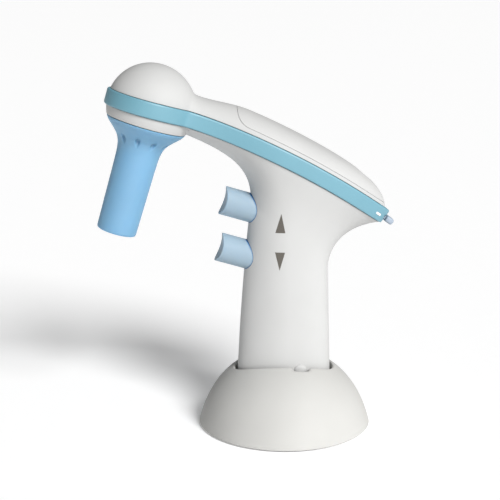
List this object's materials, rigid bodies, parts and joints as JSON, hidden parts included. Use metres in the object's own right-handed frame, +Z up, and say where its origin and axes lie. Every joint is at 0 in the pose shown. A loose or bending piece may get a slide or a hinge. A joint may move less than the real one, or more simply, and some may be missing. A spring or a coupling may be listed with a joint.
{
  "type": "motorized pipette controller",
  "caption": "Cordless pipette controller with a tilted screw-on nose, two thumb triggers and a slim handle, standing in a domed desk stand.",
  "frame": {"origin": "centre of the stand's underside, on the desk", "axes": "+Z up, the nose points to -X and the rear end of the body to +X, the side with the charge light and the stand key is -Y"},
  "size_m": [0.148, 0.0874, 0.1835],
  "materials": {
    "white_plastic": "fine satin moulded plastic",
    "stand_plastic": "fine satin moulded plastic, slightly warmer than the shells",
    "band_blue": "satin sky-blue plastic",
    "nose_blue": "satin light blue plastic",
    "slider_lilac": "satin pale lilac plastic",
    "light_window": "clear-white light pipe",
    "steel": "plain bright steel",
    "brass": "turned brass",
    "black_rubber": "soft black rubber",
    "silicone": "translucent grey silicone",
    "filter_white": "white membrane filter housing",
    "inner_plastic": "dark grey engineering plastic",
    "cell_wrap": "plain dark cell wrap",
    "board_green": "green circuit board"
  },
  "bodies": {
    "stand": {"stand_dome": "stand_plastic", "base_plate": "steel", "base_pad": "black_rubber", "base_screw_1": "steel", "base_screw_2": "steel", "base_screw_3": "steel"},
    "controller": {"handle_shell_left": "white_plastic", "handle_shell_right": "white_plastic", "upper_shell": "white_plastic", "trim_band": "band_blue", "charge_light": "light_window", "handle_screw_1": "steel", "handle_screw_2": "steel", "handle_screw_3": "steel", "nose_gasket": "black_rubber", "nose_socket": "inner_plastic", "aspirate_seal": "black_rubber", "aspirate_spring": "steel", "dispense_seal": "black_rubber", "dispense_spring": "steel", "valve_block": "inner_plastic", "motor": "steel", "wobble_plate": "inner_plastic", "pump_housing": "inner_plastic", "diaphragm": "black_rubber", "pump_head": "inner_plastic", "suction_hose": "silicone", "pressure_hose": "silicone", "nose_hose": "silicone", "battery_tray": "inner_plastic", "cell_1": "cell_wrap", "cell_2": "cell_wrap", "contact_front": "steel", "contact_rear": "steel", "circuit_board": "board_green", "mode_switch": "inner_plastic", "charge_jack": "inner_plastic"},
    "battery_cover": {"battery_cover": "white_plastic"},
    "aspirate_trigger": {"aspirate_trigger": "nose_blue", "aspirate_stem": "steel"},
    "dispense_trigger": {"dispense_trigger": "nose_blue", "dispense_stem": "steel"},
    "nose_carrier": {"pipette_holder": "silicone", "filter": "filter_white"},
    "nose_cone": {"nose_cone": "nose_blue"},
    "mode_slider": {"mode_slider": "slider_lilac"},
    "motor_rotor": {"motor_shaft": "steel", "eccentric": "brass"}
  },
  "joints": [
    {"name": "stand_lift", "type": "slide", "parent": "stand", "child": "controller", "axis": [0, 0, 1], "range_m": [0, 0.05]},
    {"name": "cover_lift", "type": "slide", "parent": "controller", "child": "battery_cover", "axis": [0.471, 0, 0.8821], "range_m": [0, 0.03]},
    {"name": "aspirate_press", "type": "slide", "parent": "controller", "child": "aspirate_trigger", "axis": [0.9581, 0, -0.2865], "range_m": [0, 0.0035], "stiffness_N_per_m": 400, "springref_m": -0.0015, "deforming": ["aspirate_spring"]},
    {"name": "dispense_press", "type": "slide", "parent": "controller", "child": "dispense_trigger", "axis": [0.9581, 0, -0.2865], "range_m": [0, 0.0035], "stiffness_N_per_m": 400, "springref_m": -0.0015, "deforming": ["dispense_spring"]},
    {"name": "nose_advance", "type": "slide", "parent": "controller", "child": "nose_carrier", "axis": [-0.2865, 0, -0.9581], "range_m": [0, 0.0045]},
    {"name": "nose_turn", "type": "hinge", "parent": "nose_carrier", "child": "nose_cone", "pos_m": [-0.08389, 0, 0.10145], "axis": [-0.2865, 0, -0.9581], "range_deg": [0, 540]},
    {"name": "mode_slide", "type": "slide", "parent": "controller", "child": "mode_slider", "axis": [0, 1, 0], "range_m": [-0.003, 0.003]},
    {"name": "motor_spin", "type": "hinge", "parent": "controller", "child": "motor_rotor", "pos_m": [0, 0, 0.042], "axis": [0, 0, 1], "continuous": true}
  ],
  "couplings": [
    {"joint": "nose_turn", "follows": "nose_advance", "rad_per_m": 2094.4}
  ]
}
